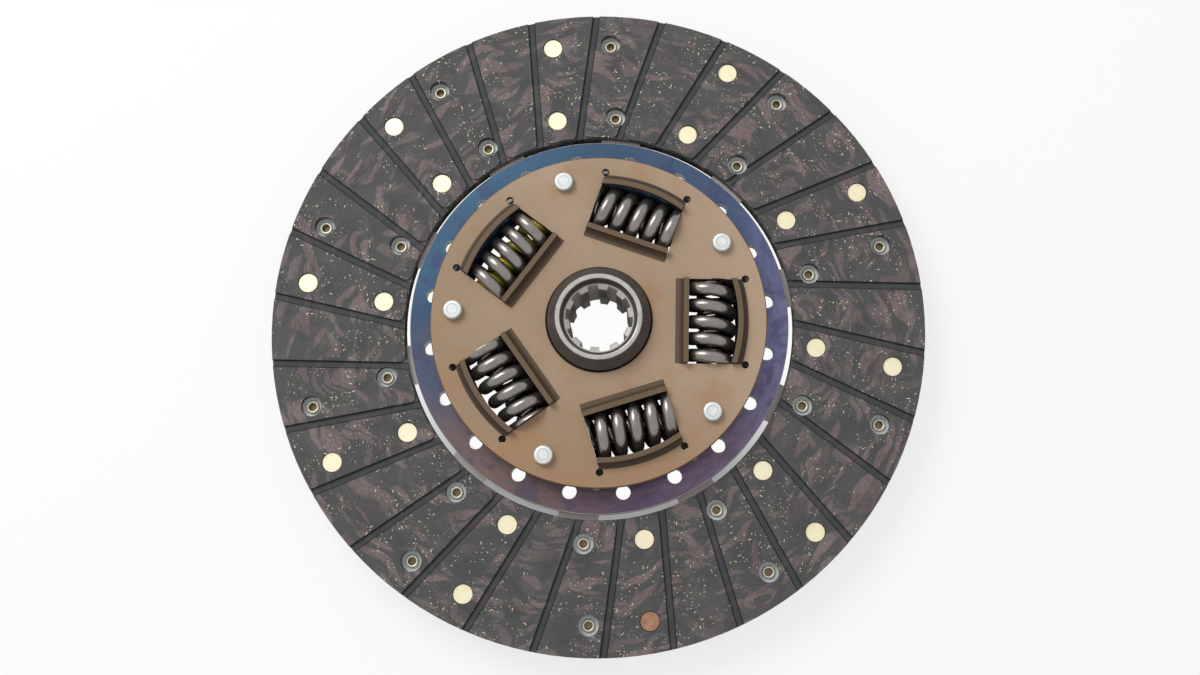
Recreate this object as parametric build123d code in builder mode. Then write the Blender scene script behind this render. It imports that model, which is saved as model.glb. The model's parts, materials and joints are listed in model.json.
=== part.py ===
from build123d import *
import math
import os

# Clutch disc, in millimetres. +Z points out of the front, on the side of the tan retainer plate.
# The origin is on the hub's axis, at the middle of the cushion plate's wave.
# +X passes through the middle of the first spring window.

# Friction facings
FACING_R = 139.7
FACING_BORE_R = 83.3
FACING_T = 3.5
PAD_COUNT = 30
GROOVE_W = 2.9
GROOVE_DEPTH = 0.9
GROOVE_OFFSET = 19.8
GROOVE_ANGLE = 11.6
PAD_CORNER_R = 3.2
PAD_SETBACK = 0.3

# Cushion plate: one spring-steel sheet with a ring, ten necks and ten waved paddles
CUSHION_T = 0.7
PADDLE_COUNT = 10
PADDLE_ANGLE = 22.8
PADDLE_TIP_R = 137.0
PADDLE_ROOT_R = 85.0
PADDLE_SLIT = 3.0
PADDLE_CORNER_R = 4.0
NECK_OFFSET = -10.0
NECK_W = 17.0
CUSHION_RING_IN_R = 65.3
CUSHION_RING_OUT_R = 79.0
WAVE_HALF_W = 6.0

# Facing rivets: four on each paddle, in two columns and two rows
RIVET_COLUMN = 12.78
RIVET_ROW_IN = 92.3
RIVET_ROW_OUT = 125.95
RIVET_SHANK_R = 2.3
RIVET_HEAD_R = 4.12
RIVET_HEAD_T = 1.0
RIVET_SUNK = 0.8
RIVET_ROLL_R = 2.75
RIVET_ROLL_H = 1.1
RIVET_BORE_R = 1.6
RIVET_BORE_DEPTH = 2.4
RIVET_EDGE_R = 0.2
RIVET_ROLL_EDGE_R = 0.5
HEAD_CLEARANCE = 0.18
SHANK_CLEARANCE = 0.1
ROLL_HOLE_R = 4.35
COPPER_RIVET_PADDLE = 7

# Drive plate (rear side plate) and retainer plate (front side plate)
DRIVE_R = 81.0
DRIVE_T = 4.2
RETAINER_R = 70.9
RETAINER_T = 3.2
PLATE_BORE_R = 22.3
PLATE_EDGE_BREAK = 0.4
VENT_COUNT = 20
VENT_CIRCLE_R = 72.4
VENT_R = 3.1
VENT_ANGLE = 9.0

# Spring windows and the lips bent up along their inner and outer edges
WINDOW_COUNT = 5
WINDOW_HALF_L = 18.2
LIP_END_GAP = 0.15
LIP_IN_FACE_R = 37.75
LIP_OUT_FACE_R = 58.5
LIP_T = 2.2
LIP_BEND_R = 2.9
LIP_RISE = 3.5
RELIEF_R = 1.6
RELIEF_X = 61.6
RELIEF_Y = 18.4

# Torsion springs: left-hand outer coils with right-hand inner coils inside them
SPRING_CIRCLE_R = 46.95
SPRING_LENGTH = 36.0
OUTER_SPRING_R = 11.4
OUTER_WIRE = 5.4
OUTER_PITCH = 7.2
INNER_SPRING_R = 5.8
INNER_WIRE = 2.9
INNER_PITCH = 4.2
SPRING_TURNS = (225.0, 195.0, 300.0, 129.0, 355.0)

# Stop pins
PIN_CIRCLE_R = 61.5
PIN_ANGLE = 33.3
PIN_HEAD_R = 4.1
PIN_HEAD_H = 3.0
PIN_HEAD_ROUND = 1.3
PIN_SHANK_R = 3.0
PIN_BODY_R = 4.2
PIN_TAIL_R = 3.6
PIN_TAIL_H = 1.6
PIN_TAIL_BREAK = 0.5
PIN_CLEARANCE = 0.05

# Hub with its spring flange and ten-tooth spline
HUB_REAR_Z = -12.3
HUB_BARREL_R = 21.8
HUB_REAR_R = 21.0
HUB_REAR_BREAK = 1.2
HUB_FRONT_RISE = 7.0
HUB_SHOULDER_RISE = 2.0
HUB_NOSE_R = 18.4
HUB_NOSE_ROUND = 0.8
HUB_MOUTH_R = 15.9
HUB_MOUTH_DEPTH = 3.5
FLANGE_R = 65.0
FLANGE_T = 5.2
SPLINE_COUNT = 10
SPLINE_MAJOR_R = 14.29
SPLINE_MINOR_R = 12.3
SPLINE_SPACE_W = 4.46
SPLINE_ANGLE = 11.8
SPLINE_LEAD = 1.4
FLANGE_WINDOW_IN = 35.0
FLANGE_WINDOW_OUT_R = 62.0
FLANGE_WINDOW_PLAY = 0.1
NOTCH_ANGLE = 36.0
NOTCH_TRAVEL = 6.2
NOTCH_CLEARANCE = 0.5

# Friction stack round the hub
WASHER_IN_R = 22.5
WASHER_OUT_R = 31.5
WASHER_T = 0.8
CONE_WASHER_T = 0.45
CONE_WASHER_H = 0.9
CONE_WASHER_OUT_R = 30.5
STACK_PLAY = 0.05

# Rivets that hold the cushion plate to the drive plate
PLATE_RIVET_COUNT = 10
PLATE_RIVET_CIRCLE_R = 68.2
PLATE_RIVET_ANGLE = 18.0
PLATE_RIVET_R = 1.8
PLATE_RIVET_HEAD_R = 2.6
PLATE_RIVET_HEAD_T = 1.2

# Heights that follow from the sizes above
FACING_BACK_Z = CUSHION_T
FACING_FACE_Z = FACING_BACK_Z + FACING_T
DRIVE_BACK_Z = 0.0
DRIVE_FRONT_Z = DRIVE_BACK_Z + DRIVE_T
FLANGE_BACK_Z = DRIVE_FRONT_Z + WASHER_T + STACK_PLAY
FLANGE_FRONT_Z = FLANGE_BACK_Z + FLANGE_T
FRONT_WASHER_Z = FLANGE_FRONT_Z + STACK_PLAY
CONE_BACK_Z = FRONT_WASHER_Z + WASHER_T
RETAINER_BACK_Z = CONE_BACK_Z + CONE_WASHER_H
RETAINER_FRONT_Z = RETAINER_BACK_Z + RETAINER_T
SPRING_Z = (DRIVE_FRONT_Z + RETAINER_BACK_Z) / 2
HUB_FRONT_Z = RETAINER_FRONT_Z + HUB_FRONT_RISE
HUB_SHOULDER_Z = RETAINER_FRONT_Z + HUB_SHOULDER_RISE
SPLINE_FRONT_Z = HUB_FRONT_Z - HUB_MOUTH_DEPTH
PADDLE_STEP = 360 / PADDLE_COUNT
WINDOW_STEP = 360 / WINDOW_COUNT
LIP_REACH = LIP_T + LIP_BEND_R


def hand_in(piece, name):
    """Label a finished piece and write it to its own STEP file."""
    piece.part.label = name
    export_step(piece.part, f"parts/{name}.step")


def window_shape(half_length, inner, outer_r):
    """Spring window on +X: straight sides and inner edge, outer edge round the disc's axis."""
    corner = math.sqrt(outer_r ** 2 - half_length ** 2)
    with BuildSketch() as window:
        with BuildLine():
            Polyline((corner, -half_length), (inner, -half_length), (inner, half_length), (corner, half_length))
            ThreePointArc((corner, half_length), (outer_r, 0), (corner, -half_length))
        make_face()
    return window.sketch


def lip_outline(face_r, side, spring_z, open_z, tip_z):
    """Section of a bent window lip in the XZ plane, from the plate's cut edge to the lip's free edge.

    side is 1 for the lip nearer the axis and -1 for the one beyond the spring. spring_z is the plate's
    face towards the spring's middle and open_z its other face, past which the lip stands up to tip_z.
    """
    up = 1 if tip_z > open_z else -1
    root = face_r - side * LIP_REACH
    wall = root + side * LIP_BEND_R
    slant = math.sin(math.radians(45))
    small_centre_z = open_z + up * LIP_BEND_R
    big_centre_z = spring_z + up * LIP_REACH
    small_middle = (root + side * LIP_BEND_R * slant, small_centre_z - up * LIP_BEND_R * slant)
    big_middle = (root + side * LIP_REACH * slant, big_centre_z - up * LIP_REACH * slant)
    with BuildLine() as outline:
        Line((root, spring_z), (root, open_z))
        ThreePointArc((root, open_z), small_middle, (wall, small_centre_z))
        Polyline((wall, small_centre_z), (wall, tip_z), (face_r, tip_z), (face_r, big_centre_z))
        ThreePointArc((face_r, big_centre_z), big_middle, (root, spring_z))
    return outline.line


def window_lips(spring_z, open_z, tip_z):
    """Both lips of the window on +X, ending just short of the window's sides."""
    with BuildPart() as lips:
        with BuildSketch(Plane.XZ):
            add(make_face(lip_outline(LIP_IN_FACE_R, 1, spring_z, open_z, tip_z)))
        extrude(amount=WINDOW_HALF_L, both=True)
        with BuildSketch(Plane.XZ.rotated((0, 0, -WINDOW_STEP / 2))):
            add(make_face(lip_outline(LIP_OUT_FACE_R, -1, spring_z, open_z, tip_z)))
        revolve(axis=Axis.Z, revolution_arc=WINDOW_STEP)
        with Locations((0, 0, spring_z)):
            Box(4 * LIP_OUT_FACE_R, 2 * (WINDOW_HALF_L - LIP_END_GAP), 4 * (LIP_REACH + LIP_RISE), mode=Mode.INTERSECT)
    return lips


def side_plate(outer_r, back_z, front_z, lips_to_front, rear_holes):
    """Round side plate with spring windows, their bent lips, pin holes and the hub's bore."""
    spring_z, open_z = (back_z, front_z) if lips_to_front else (front_z, back_z)
    tip_z = open_z + LIP_RISE if lips_to_front else open_z - LIP_RISE
    lips = window_lips(spring_z, open_z, tip_z)
    with BuildPart() as plate:
        with BuildSketch(Plane.XY.offset(back_z)):
            Circle(outer_r)
            Circle(PLATE_BORE_R, mode=Mode.SUBTRACT)
        extrude(amount=front_z - back_z)
        chamfer(plate.edges().filter_by(GeomType.CIRCLE), PLATE_EDGE_BREAK)
        with BuildSketch(Plane.XY.offset(back_z)):
            with PolarLocations(0, WINDOW_COUNT):
                add(window_shape(WINDOW_HALF_L, LIP_IN_FACE_R - LIP_REACH, LIP_OUT_FACE_R + LIP_REACH))
            with PolarLocations(PIN_CIRCLE_R, WINDOW_COUNT, start_angle=PIN_ANGLE):
                Circle(PIN_SHANK_R + PIN_CLEARANCE)
            if rear_holes:
                with PolarLocations(VENT_CIRCLE_R, VENT_COUNT, start_angle=VENT_ANGLE):
                    Circle(VENT_R)
                with PolarLocations(PLATE_RIVET_CIRCLE_R, PLATE_RIVET_COUNT, start_angle=PLATE_RIVET_ANGLE):
                    Circle(PLATE_RIVET_R + PIN_CLEARANCE)
        extrude(amount=front_z - back_z, mode=Mode.SUBTRACT)
        with PolarLocations(0, WINDOW_COUNT):
            add(lips.part)
        with BuildSketch(Plane.XY.offset(spring_z)):
            with PolarLocations(0, WINDOW_COUNT):
                with Locations((RELIEF_X, RELIEF_Y), (RELIEF_X, -RELIEF_Y)):
                    Circle(RELIEF_R)
        extrude(amount=abs(tip_z - spring_z), both=True, mode=Mode.SUBTRACT)
    return plate


def coil_spring(window, coil_r, wire, pitch, left_hand):
    """Compression spring along its window, wound turn by turn, with its ends ground flat."""
    turns = 2 * math.ceil((SPRING_LENGTH / 2 + wire) / pitch)
    with BuildPart() as coil:
        with BuildLine() as path:
            for turn in range(turns):
                low = (turn - turns / 2) * pitch
                Helix(pitch, pitch, coil_r - wire / 2, center=(0, 0, low), lefthand=left_hand)
        wire_line = path.wires()[0]
        with BuildSketch(Plane(origin=wire_line @ 0, z_dir=wire_line % 0)):
            Circle(wire / 2)
        sweep(path=wire_line, is_frenet=True)
        Box(4 * coil_r, 4 * coil_r, SPRING_LENGTH, mode=Mode.INTERSECT)
    seated = Location((SPRING_CIRCLE_R, 0, SPRING_Z), (-90, 0, 0)) * Rotation(0, 0, SPRING_TURNS[window])
    with BuildPart() as placed:
        add(Rotation(0, 0, window * WINDOW_STEP) * seated * coil.part)
    return placed


def pad_outline():
    """Outline of one raised pad between two grooves, with its inner corners rounded."""
    with BuildSketch() as pad:
        with BuildLine():
            CenterArc((0, 0), FACING_R, 0, 360)
        make_face()
        Circle(FACING_BORE_R + PAD_SETBACK, mode=Mode.SUBTRACT)
        half = FACING_R
        with Locations((half, GROOVE_OFFSET + GROOVE_W / 2 + half)):
            Rectangle(4 * half, 2 * half, mode=Mode.INTERSECT)
        with Locations(Rotation(0, 0, 360 / PAD_COUNT) * Location((half, GROOVE_OFFSET - GROOVE_W / 2 - half))):
            Rectangle(4 * half, 2 * half, mode=Mode.INTERSECT)
        with Locations((half, 0)):
            Rectangle(2 * half, 4 * half, mode=Mode.INTERSECT)
        inner = pad.vertices().filter_by(lambda v: math.hypot(v.X, v.Y) < FACING_BORE_R + 2 * PAD_SETBACK)
        fillet(inner, PAD_CORNER_R)
    return pad.sketch


def facing(side):
    """Grooved friction ring. side is 1 for the front facing and -1 for the rear one."""
    face_z = side * FACING_FACE_Z
    back_z = side * FACING_BACK_Z
    floor_z = face_z - side * GROOVE_DEPTH
    seat_z = face_z - side * (RIVET_SUNK + RIVET_HEAD_T)
    grooves = Rotation(0, 0, GROOVE_ANGLE) if side > 0 else Rotation(180, 0, -GROOVE_ANGLE)
    with BuildPart() as ring:
        with BuildSketch(Plane.XY.offset(back_z)):
            Circle(FACING_R)
            Circle(FACING_BORE_R, mode=Mode.SUBTRACT)
        extrude(amount=floor_z - back_z)
        with BuildSketch(Plane.XY.offset(floor_z)):
            with PolarLocations(0, PAD_COUNT):
                add(grooves * pad_outline())
        extrude(amount=face_z - floor_z)
        for paddle in range(PADDLE_COUNT):
            frame = Plane.XY.rotated((0, 0, PADDLE_ANGLE + paddle * PADDLE_STEP))
            own = [(RIVET_ROW_IN, side * RIVET_COLUMN), (RIVET_ROW_OUT, side * RIVET_COLUMN)]
            other = [(RIVET_ROW_IN, -side * RIVET_COLUMN), (RIVET_ROW_OUT, -side * RIVET_COLUMN)]
            with BuildSketch(frame.offset(seat_z)):
                with Locations(*own):
                    Circle(RIVET_HEAD_R + HEAD_CLEARANCE)
            extrude(amount=face_z - seat_z, mode=Mode.SUBTRACT)
            with BuildSketch(frame.offset(back_z)):
                with Locations(*own):
                    Circle(RIVET_SHANK_R + SHANK_CLEARANCE)
                with Locations(*other):
                    Circle(ROLL_HOLE_R)
            extrude(amount=face_z - back_z, mode=Mode.SUBTRACT)
    return ring


def wave_outline():
    """Section of a paddle's wave in the YZ plane: low on the rear rivets' side, high on the front ones'."""
    reach = PADDLE_TIP_R
    rise = CUSHION_T
    with BuildLine() as outline:
        Line((-reach, -rise), (-WAVE_HALF_W, -rise))
        Spline((-WAVE_HALF_W, -rise), (WAVE_HALF_W, 0), tangents=((1, 0), (1, 0)))
        Polyline((WAVE_HALF_W, 0), (reach, 0), (reach, rise), (WAVE_HALF_W, rise))
        Spline((WAVE_HALF_W, rise), (-WAVE_HALF_W, 0), tangents=((-1, 0), (-1, 0)))
        Polyline((-WAVE_HALF_W, 0), (-reach, 0), (-reach, -rise))
    return outline.line


def facing_rivets(side, paddles_rows):
    """Tubular rivets that hold one facing, each a separate solid. side is 1 for the front facing."""
    head_top = FACING_FACE_Z - RIVET_SUNK
    seat = head_top - RIVET_HEAD_T
    tail = -RIVET_ROLL_H
    with BuildPart() as rivet:
        with BuildSketch(Plane.XZ):
            with BuildLine():
                Polyline((0, head_top), (RIVET_HEAD_R, head_top), (RIVET_HEAD_R, seat), (RIVET_SHANK_R, seat),
                         (RIVET_SHANK_R, 0), (RIVET_ROLL_R, 0), (RIVET_ROLL_R, tail), (RIVET_BORE_R, tail),
                         (RIVET_BORE_R, tail + RIVET_BORE_DEPTH), (0, tail + RIVET_BORE_DEPTH), close=True)
            make_face()
        revolve(axis=Axis.Z)
        fillet(rivet.edges().filter_by(GeomType.CIRCLE).group_by(Axis.Z)[-1], RIVET_EDGE_R)
        roll_edge = rivet.edges().filter_by(GeomType.CIRCLE).group_by(Axis.Z)[0]
        fillet(roll_edge, RIVET_ROLL_EDGE_R)
    with BuildPart() as group:
        for paddle, row in paddles_rows:
            place = Rotation(0, 0, PADDLE_ANGLE + paddle * PADDLE_STEP) * Location((row, side * RIVET_COLUMN, 0))
            flip = Rotation(0, 0, 0) if side > 0 else Rotation(180, 0, 0)
            add(place * flip * rivet.part)
    return group


os.makedirs("parts", exist_ok=True)

# Hub: barrel, nose, spring flange with five windows and five stop notches, and the splined bore
with BuildPart() as hub:
    with BuildSketch(Plane.XZ):
        with BuildLine():
            Polyline((SPLINE_MINOR_R, HUB_REAR_Z), (HUB_REAR_R, HUB_REAR_Z), (HUB_BARREL_R, DRIVE_BACK_Z),
                     (HUB_BARREL_R, HUB_SHOULDER_Z), (HUB_NOSE_R, HUB_FRONT_Z), (HUB_MOUTH_R, HUB_FRONT_Z),
                     (HUB_MOUTH_R, SPLINE_FRONT_Z), (SPLINE_MINOR_R, SPLINE_FRONT_Z), close=True)
        make_face()
    revolve(axis=Axis.Z)
    fillet(hub.edges().filter_by(GeomType.CIRCLE).group_by(Axis.Z)[-1], HUB_NOSE_ROUND)
    rear_edge = hub.edges().filter_by(GeomType.CIRCLE).group_by(Axis.Z)[0].sort_by(SortBy.RADIUS)[-1]
    chamfer(rear_edge, HUB_REAR_BREAK)
    with BuildSketch(Plane.XY.offset(FLANGE_BACK_Z)):
        Circle(FLANGE_R)
        Circle((SPLINE_MAJOR_R + HUB_BARREL_R) / 2, mode=Mode.SUBTRACT)
        with PolarLocations(0, WINDOW_COUNT):
            add(window_shape(SPRING_LENGTH / 2 + FLANGE_WINDOW_PLAY, FLANGE_WINDOW_IN, FLANGE_WINDOW_OUT_R),
                mode=Mode.SUBTRACT)
    extrude(amount=FLANGE_T)
    notch_r = PIN_BODY_R + NOTCH_CLEARANCE
    notch_half = NOTCH_TRAVEL + math.degrees(math.asin(notch_r / PIN_CIRCLE_R))
    with BuildSketch(Plane.XY.offset(FLANGE_BACK_Z)) as notch:
        with PolarLocations(0, WINDOW_COUNT, start_angle=NOTCH_ANGLE):
            SlotArc(CenterArc((0, 0), PIN_CIRCLE_R, -NOTCH_TRAVEL, 2 * NOTCH_TRAVEL), 2 * notch_r)
            with Locations((PIN_CIRCLE_R + notch_r, 0)):
                Rectangle(2 * notch_r, 2 * (PIN_CIRCLE_R + notch_r) * math.sin(math.radians(notch_half)))
    extrude(amount=FLANGE_T, mode=Mode.SUBTRACT)
    with BuildSketch(Plane.XY.offset(HUB_REAR_Z)):
        with PolarLocations(0, SPLINE_COUNT, start_angle=SPLINE_ANGLE + 180 / SPLINE_COUNT):
            Rectangle(2 * SPLINE_MAJOR_R, SPLINE_SPACE_W)
        Circle(SPLINE_MAJOR_R, mode=Mode.INTERSECT)
        Circle(SPLINE_MINOR_R)
    extrude(amount=SPLINE_FRONT_Z - HUB_REAR_Z, mode=Mode.SUBTRACT)
    with BuildSketch(Plane.XZ):
        with BuildLine():
            Polyline((0, SPLINE_FRONT_Z), (SPLINE_MAJOR_R, SPLINE_FRONT_Z),
                     (SPLINE_MINOR_R, SPLINE_FRONT_Z - SPLINE_LEAD), (0, SPLINE_FRONT_Z - SPLINE_LEAD), close=True)
            Polyline((0, HUB_REAR_Z), (SPLINE_MAJOR_R, HUB_REAR_Z),
                     (SPLINE_MINOR_R, HUB_REAR_Z + SPLINE_LEAD), (0, HUB_REAR_Z + SPLINE_LEAD), close=True)
        make_face()
    revolve(axis=Axis.Z, mode=Mode.SUBTRACT)
hand_in(hub, "hub")

# Side plates
drive_plate = side_plate(DRIVE_R, DRIVE_BACK_Z, DRIVE_FRONT_Z, lips_to_front=False, rear_holes=True)
hand_in(drive_plate, "drive_plate")
retainer_plate = side_plate(RETAINER_R, RETAINER_BACK_Z, RETAINER_FRONT_Z, lips_to_front=True, rear_holes=False)
hand_in(retainer_plate, "retainer_plate")

# Cushion plate: flat ring and necks behind the drive plate, waved paddles between the facings
with BuildPart() as paddle_blank:
    with BuildSketch(Plane.YZ):
        add(make_face(wave_outline()))
    extrude(amount=PADDLE_TIP_R)
    with BuildSketch(Plane.XY.offset(-2 * CUSHION_T)) as paddle_shape:
        Circle(PADDLE_TIP_R)
        Circle(PADDLE_ROOT_R, mode=Mode.SUBTRACT)
        for edge_side in (1, -1):
            slit_side = Location((0, -edge_side * (PADDLE_TIP_R + PADDLE_SLIT / 2)))
            with Locations(Rotation(0, 0, edge_side * PADDLE_STEP / 2) * slit_side):
                Rectangle(4 * PADDLE_TIP_R, 2 * PADDLE_TIP_R, mode=Mode.INTERSECT)
        with Locations((PADDLE_TIP_R, 0)):
            Rectangle(2 * PADDLE_TIP_R, 2 * PADDLE_TIP_R, mode=Mode.INTERSECT)
        fillet(paddle_shape.vertices(), PADDLE_CORNER_R)
        with Locations((RIVET_ROW_IN, RIVET_COLUMN), (RIVET_ROW_OUT, RIVET_COLUMN),
                       (RIVET_ROW_IN, -RIVET_COLUMN), (RIVET_ROW_OUT, -RIVET_COLUMN)):
            Circle(RIVET_SHANK_R + SHANK_CLEARANCE, mode=Mode.SUBTRACT)
    extrude(amount=4 * CUSHION_T, mode=Mode.INTERSECT)

with BuildPart() as cushion_plate:
    with BuildSketch(Plane.XY.offset(-CUSHION_T)):
        Circle(CUSHION_RING_OUT_R)
        with PolarLocations((CUSHION_RING_OUT_R + PADDLE_ROOT_R) / 2, PADDLE_COUNT,
                            start_angle=PADDLE_ANGLE + NECK_OFFSET):
            Rectangle(PADDLE_ROOT_R - CUSHION_RING_OUT_R + NECK_W / 2, NECK_W)
        Circle(CUSHION_RING_IN_R, mode=Mode.SUBTRACT)
        with PolarLocations(VENT_CIRCLE_R, VENT_COUNT, start_angle=VENT_ANGLE):
            Circle(VENT_R, mode=Mode.SUBTRACT)
        with PolarLocations(PLATE_RIVET_CIRCLE_R, PLATE_RIVET_COUNT, start_angle=PLATE_RIVET_ANGLE):
            Circle(PLATE_RIVET_R + PIN_CLEARANCE, mode=Mode.SUBTRACT)
    extrude(amount=CUSHION_T)
    with PolarLocations(0, PADDLE_COUNT, start_angle=PADDLE_ANGLE):
        add(paddle_blank.part)
hand_in(cushion_plate, "cushion_plate")

# Friction facings and the rivets that hold them
front_facing = facing(1)
hand_in(front_facing, "front_facing")
rear_facing = facing(-1)
hand_in(rear_facing, "rear_facing")
rows = (RIVET_ROW_IN, RIVET_ROW_OUT)
places = [(paddle, row) for paddle in range(PADDLE_COUNT) for row in rows]
copper_place = (COPPER_RIVET_PADDLE, RIVET_ROW_OUT)
bright_rivets = facing_rivets(1, [place for place in places if place != copper_place])
hand_in(bright_rivets, "front_facing_rivets")
copper_rivet = facing_rivets(1, [copper_place])
hand_in(copper_rivet, "copper_facing_rivet")
rear_rivets = facing_rivets(-1, places)
hand_in(rear_rivets, "rear_facing_rivets")

# Rivets between the drive plate and the cushion plate, hidden under the retainer plate's rim
with BuildPart() as plate_rivets:
    with BuildSketch(Plane.XY.offset(-CUSHION_T - PLATE_RIVET_HEAD_T)):
        with PolarLocations(PLATE_RIVET_CIRCLE_R, PLATE_RIVET_COUNT, start_angle=PLATE_RIVET_ANGLE):
            Circle(PLATE_RIVET_HEAD_R)
    extrude(amount=PLATE_RIVET_HEAD_T)
    with BuildSketch(Plane.XY.offset(-CUSHION_T)):
        with PolarLocations(PLATE_RIVET_CIRCLE_R, PLATE_RIVET_COUNT, start_angle=PLATE_RIVET_ANGLE):
            Circle(PLATE_RIVET_R)
    extrude(amount=CUSHION_T + DRIVE_T)
    with BuildSketch(Plane.XY.offset(DRIVE_FRONT_Z)):
        with PolarLocations(PLATE_RIVET_CIRCLE_R, PLATE_RIVET_COUNT, start_angle=PLATE_RIVET_ANGLE):
            Circle(PLATE_RIVET_HEAD_R)
    extrude(amount=PLATE_RIVET_HEAD_T)
hand_in(plate_rivets, "cushion_plate_rivets")

# Stop pins: shouldered between the side plates, headed over at both ends
with BuildPart() as pin:
    with BuildSketch(Plane.XZ):
        with BuildLine():
            pin_top = RETAINER_FRONT_Z + PIN_HEAD_H
            pin_end = DRIVE_BACK_Z - PIN_TAIL_H
            Polyline((0, pin_top), (0, pin_end), (PIN_TAIL_R, pin_end), (PIN_TAIL_R, DRIVE_BACK_Z),
                     (PIN_SHANK_R, DRIVE_BACK_Z), (PIN_SHANK_R, DRIVE_FRONT_Z), (PIN_BODY_R, DRIVE_FRONT_Z),
                     (PIN_BODY_R, RETAINER_BACK_Z), (PIN_SHANK_R, RETAINER_BACK_Z),
                     (PIN_SHANK_R, RETAINER_FRONT_Z), (PIN_HEAD_R, RETAINER_FRONT_Z), (PIN_HEAD_R, pin_top),
                     close=True)
        make_face()
    revolve(axis=Axis.Z)
    fillet(pin.edges().filter_by(GeomType.CIRCLE).group_by(Axis.Z)[-1], PIN_HEAD_ROUND)
    chamfer(pin.edges().filter_by(GeomType.CIRCLE).group_by(Axis.Z)[0], PIN_TAIL_BREAK)
for k in range(WINDOW_COUNT):
    with BuildPart() as stop_pin:
        with PolarLocations(PIN_CIRCLE_R, 1, start_angle=PIN_ANGLE + k * WINDOW_STEP):
            add(pin.part)
    hand_in(stop_pin, f"stop_pin_{k + 1}")

# Friction stack: one washer each side of the flange, and a conical spring washer under the retainer plate
for name, low_z in (("rear_friction_washer", DRIVE_FRONT_Z), ("front_friction_washer", FRONT_WASHER_Z)):
    with BuildPart() as washer:
        with BuildSketch(Plane.XY.offset(low_z)):
            Circle(WASHER_OUT_R)
            Circle(WASHER_IN_R, mode=Mode.SUBTRACT)
        extrude(amount=WASHER_T)
    hand_in(washer, name)
with BuildPart() as spring_washer:
    with BuildSketch(Plane.XZ):
        with BuildLine():
            Polyline((WASHER_IN_R, RETAINER_BACK_Z), (WASHER_IN_R, RETAINER_BACK_Z - CONE_WASHER_T),
                     (CONE_WASHER_OUT_R, CONE_BACK_Z), (CONE_WASHER_OUT_R, CONE_BACK_Z + CONE_WASHER_T), close=True)
        make_face()
    revolve(axis=Axis.Z)
hand_in(spring_washer, "conical_spring_washer")

# Torsion springs, one nested pair in each window
for k in range(WINDOW_COUNT):
    outer_spring = coil_spring(k, OUTER_SPRING_R, OUTER_WIRE, OUTER_PITCH, True)
    hand_in(outer_spring, f"outer_spring_{k + 1}")
    inner_spring = coil_spring(k, INNER_SPRING_R, INNER_WIRE, INNER_PITCH, False)
    hand_in(inner_spring, f"inner_spring_{k + 1}")
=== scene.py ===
"""Finishes, coil springs, floor, light and camera for the clutch disc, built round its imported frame."""

import json
import math

import bpy
from mathutils import Matrix, Vector


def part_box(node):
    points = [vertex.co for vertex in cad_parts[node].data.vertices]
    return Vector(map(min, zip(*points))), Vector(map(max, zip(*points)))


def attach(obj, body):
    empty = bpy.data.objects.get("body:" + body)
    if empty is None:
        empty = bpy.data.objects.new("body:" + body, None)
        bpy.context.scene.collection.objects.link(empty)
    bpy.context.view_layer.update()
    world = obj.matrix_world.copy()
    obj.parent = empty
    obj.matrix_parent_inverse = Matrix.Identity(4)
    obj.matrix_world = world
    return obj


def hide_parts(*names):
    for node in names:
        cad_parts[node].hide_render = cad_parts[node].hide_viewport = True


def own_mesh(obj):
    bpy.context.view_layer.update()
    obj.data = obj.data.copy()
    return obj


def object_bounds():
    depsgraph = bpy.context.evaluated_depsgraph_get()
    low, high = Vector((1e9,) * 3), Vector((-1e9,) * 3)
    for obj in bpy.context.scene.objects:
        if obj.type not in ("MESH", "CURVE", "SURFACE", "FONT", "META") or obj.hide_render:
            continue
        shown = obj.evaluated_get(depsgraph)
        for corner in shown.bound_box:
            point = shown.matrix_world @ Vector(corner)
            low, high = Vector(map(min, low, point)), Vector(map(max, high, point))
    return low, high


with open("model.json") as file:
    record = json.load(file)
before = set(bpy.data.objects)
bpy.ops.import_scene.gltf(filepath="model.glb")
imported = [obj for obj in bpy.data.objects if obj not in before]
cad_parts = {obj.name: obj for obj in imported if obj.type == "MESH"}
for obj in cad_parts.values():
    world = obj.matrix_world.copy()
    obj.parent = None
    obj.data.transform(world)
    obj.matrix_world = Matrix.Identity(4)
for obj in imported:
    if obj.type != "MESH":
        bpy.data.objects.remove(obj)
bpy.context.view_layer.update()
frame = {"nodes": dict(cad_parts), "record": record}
nodes = frame["nodes"]

# Sizes are in millimetres where a name says so, and in metres elsewhere
MM = 0.001
WINDOW_COUNT = 5
WINDOW_STEP = math.tau / WINDOW_COUNT

# Coil springs, in millimetres: the same coils as the frame's, wound from fewer faces. Edges that fold by
# more radians than SHARP_FOLD stay sharp.
SPRING_CIRCLE_MM = 46.95
SPRING_LENGTH_MM = 36.0
OUTER_COIL = {"Coil Radius": 11.4, "Wire Radius": 2.7, "Pitch": 7.2, "Handed": -1.0}
INNER_COIL = {"Coil Radius": 5.8, "Wire Radius": 1.45, "Pitch": 4.2, "Handed": 1.0}
SPRING_TURNS = (225.0, 195.0, 300.0, 129.0, 355.0)
PAINTED_WINDOW = 3
SHARP_FOLD = 0.7

# Half a spring window's length, in millimetres
WINDOW_HALF_MM = 18.2

# Places on the facings, in millimetres and degrees
FACING_RIM_MM = 139.7
FACING_BORE_MM = 83.3
MIDDLE_RADIUS_MM = 111.0
PADS = 30
GROOVE_OFFSET_MM = 19.8
GROOVE_ANGLE = 11.6
GROOVE_HALF_MM = 1.45
PADDLES = 10
PADDLE_ANGLE = 22.8
PADDLE_ROOT_MM = 85.0
RIVET_COLUMN_MM = 12.78
RIVET_ROWS_MM = (92.3, 125.95)
ROLLED_END_MM = 2.0
RIVET_BORE_MM = 1.55

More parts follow.
